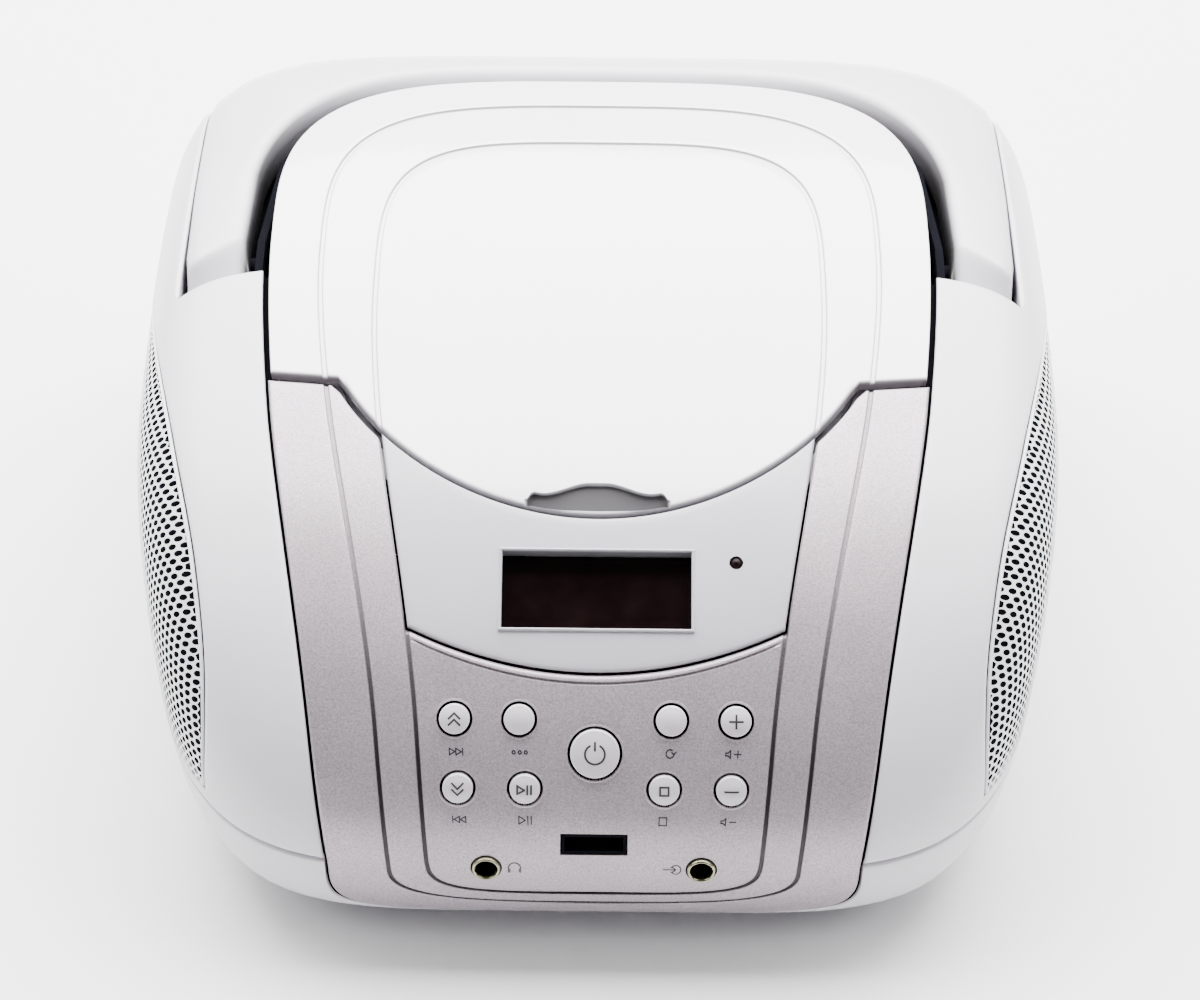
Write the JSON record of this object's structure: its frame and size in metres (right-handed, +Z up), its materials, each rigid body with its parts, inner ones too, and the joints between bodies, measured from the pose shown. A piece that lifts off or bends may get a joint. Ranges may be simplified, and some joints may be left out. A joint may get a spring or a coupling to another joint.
{
  "type": "portable cd player",
  "caption": "Rounded portable CD player with a top-loading lid, fold-back carrying handle, side speakers, push buttons, display and telescopic aerial.",
  "frame": {"origin": "on the ground under the middle of the player's outline, level with the undersides of the feet", "axes": "+X to the player's right-hand side as seen from the front, +Y to the rear, +Z up"},
  "size_m": [0.21, 0.2252, 0.0985],
  "materials": {
    "gloss_white": "glossy moulded white",
    "satin_white": "satin moulded white",
    "silver_paint": "fine-grained silver paint",
    "grille_white": "white painted perforated sheet",
    "button_silver": "pale silver, semi-gloss",
    "dark_window": "dark tinted, glossy",
    "black_plastic": "matte black",
    "grey_plastic": "matte grey",
    "dark_steel": "dark zinc-plated steel",
    "bright_steel": "bright plated steel",
    "brass": "polished brass",
    "green_board": "green circuit board",
    "rubber": "soft black rubber",
    "paper_cone": "matte pressed paper",
    "clear_lens": "coated lens",
    "red_lens": "tinted lamp lens, unlit",
    "white_nylon": "natural nylon"
  },
  "bodies": {
    "body": {"base_cabinet": "satin_white", "left_pod": "satin_white", "right_pod": "satin_white", "left_grille": "grille_white", "right_grille": "grille_white", "front_panel": "silver_paint", "display_panel": "gloss_white", "display_window": "dark_window", "display_module": "black_plastic", "standby_led": "red_lens", "button_board": "green_board", "usb_socket": "black_plastic", "phones_jack": "brass", "aux_jack": "brass", "handle_recess": "black_plastic", "cd_deck": "satin_white", "cd_well": "grey_plastic", "mechanism_chassis": "dark_steel", "damper_1": "rubber", "damper_2": "rubber", "damper_3": "rubber", "spindle_motor": "bright_steel", "sled_motor": "bright_steel", "guide_rod": "bright_steel", "left_baffle": "black_plastic", "right_baffle": "black_plastic", "left_speaker_frame": "dark_steel", "right_speaker_frame": "dark_steel", "left_speaker_cone": "paper_cone", "right_speaker_cone": "paper_cone", "main_board": "green_board", "transformer": "dark_steel", "ac_inlet": "black_plastic", "battery_tray": "black_plastic", "foot_front_left": "rubber", "foot_front_right": "rubber", "foot_rear_left": "rubber", "foot_rear_right": "rubber", "aerial_pivot": "dark_steel"},
    "lid": {"lid": "gloss_white"},
    "handle": {"handle": "satin_white"},
    "turntable": {"turntable": "black_plastic"},
    "pickup": {"pickup_sled": "black_plastic", "pickup_lens": "clear_lens"},
    "sled_gear": {"sled_gear": "white_nylon"},
    "motor_pinion": {"motor_pinion": "brass"},
    "battery_door": {"battery_door": "satin_white"},
    "aerial": {"aerial_mast": "bright_steel"},
    "aerial_middle": {"aerial_middle": "bright_steel"},
    "aerial_rod": {"aerial_rod": "bright_steel"},
    "next_button": {"next_button": "button_silver"},
    "back_button": {"back_button": "button_silver"},
    "function_button": {"function_button": "button_silver"},
    "play_button": {"play_button": "button_silver"},
    "repeat_button": {"repeat_button": "button_silver"},
    "stop_button": {"stop_button": "button_silver"},
    "volume_up_button": {"volume_up_button": "button_silver"},
    "volume_down_button": {"volume_down_button": "button_silver"},
    "power_button": {"power_button": "button_silver"}
  },
  "joints": [
    {"name": "lid_hinge", "type": "hinge", "parent": "body", "child": "lid", "pos_m": [0, 0.07536, 0.09165], "axis": [-1, 0, 0], "range_deg": [0, 55]},
    {"name": "handle_pivot", "type": "hinge", "parent": "body", "child": "handle", "pos_m": [0, 0.01597, 0.08844], "axis": [1, 0, 0], "range_deg": [0, 106]},
    {"name": "turntable_spin", "type": "hinge", "parent": "body", "child": "turntable", "pos_m": [0, 0.00265, 0.0705], "axis": [0, 0, 1], "continuous": true},
    {"name": "pickup_slide", "type": "slide", "parent": "body", "child": "pickup", "axis": [0, -1, 0], "range_m": [0, 0.028]},
    {"name": "sled_gear_spin", "type": "hinge", "parent": "body", "child": "sled_gear", "pos_m": [-0.018, -0.02335, 0.0608], "axis": [0, 0, 1], "range_deg": [-720, 180]},
    {"name": "motor_pinion_spin", "type": "hinge", "parent": "body", "child": "motor_pinion", "pos_m": [-0.028, -0.02335, 0.0608], "axis": [0, 0, 1], "range_deg": [-270, 1080]},
    {"name": "battery_door_slide", "type": "slide", "parent": "body", "child": "battery_door", "axis": [0, 1, 0], "range_m": [0, 0.008]},
    {"name": "aerial_swing", "type": "hinge", "parent": "body", "child": "aerial", "pos_m": [0.061, 0.10756, 0.05043], "axis": [0, 0.5, -0.866], "range_deg": [0, 90]},
    {"name": "aerial_middle_slide", "type": "slide", "parent": "aerial", "child": "aerial_middle", "axis": [-1, 0, 0], "range_m": [0, 0.095]},
    {"name": "aerial_rod_slide", "type": "slide", "parent": "aerial_middle", "child": "aerial_rod", "axis": [-1, 0, 0], "range_m": [0, 0.095]},
    {"name": "next_press", "type": "slide", "parent": "body", "child": "next_button", "axis": [0.0041, 0.7317, -0.6816], "range_m": [0, 0.0008], "stiffness_N_per_m": 500, "springref_m": -0.0005},
    {"name": "back_press", "type": "slide", "parent": "body", "child": "back_button", "axis": [0.0048, 0.85, -0.5268], "range_m": [0, 0.0008], "stiffness_N_per_m": 500, "springref_m": -0.0005},
    {"name": "function_press", "type": "slide", "parent": "body", "child": "function_button", "axis": [0.0002, 0.7316, -0.6818], "range_m": [0, 0.0008], "stiffness_N_per_m": 500, "springref_m": -0.0005},
    {"name": "play_press", "type": "slide", "parent": "body", "child": "play_button", "axis": [0.0002, 0.8499, -0.527], "range_m": [0, 0.0008], "stiffness_N_per_m": 500, "springref_m": -0.0005},
    {"name": "repeat_press", "type": "slide", "parent": "body", "child": "repeat_button", "axis": [-0.0002, 0.7316, -0.6818], "range_m": [0, 0.0008], "stiffness_N_per_m": 500, "springref_m": -0.0005},
    {"name": "stop_press", "type": "slide", "parent": "body", "child": "stop_button", "axis": [-0.0002, 0.8499, -0.527], "range_m": [0, 0.0008], "stiffness_N_per_m": 500, "springref_m": -0.0005},
    {"name": "volume_up_press", "type": "slide", "parent": "body", "child": "volume_up_button", "axis": [-0.0041, 0.7317, -0.6816], "range_m": [0, 0.0008], "stiffness_N_per_m": 500, "springref_m": -0.0005},
    {"name": "volume_down_press", "type": "slide", "parent": "body", "child": "volume_down_button", "axis": [-0.0048, 0.85, -0.5268], "range_m": [0, 0.0008], "stiffness_N_per_m": 500, "springref_m": -0.0005},
    {"name": "power_press", "type": "slide", "parent": "body", "child": "power_button", "axis": [0, 0.7905, -0.6124], "range_m": [0, 0.0008], "stiffness_N_per_m": 500, "springref_m": -0.0005}
  ],
  "couplings": [
    {"joint": "sled_gear_spin", "follows": "pickup_slide", "rad_per_m": -166.67},
    {"joint": "motor_pinion_spin", "follows": "pickup_slide", "rad_per_m": 250}
  ]
}
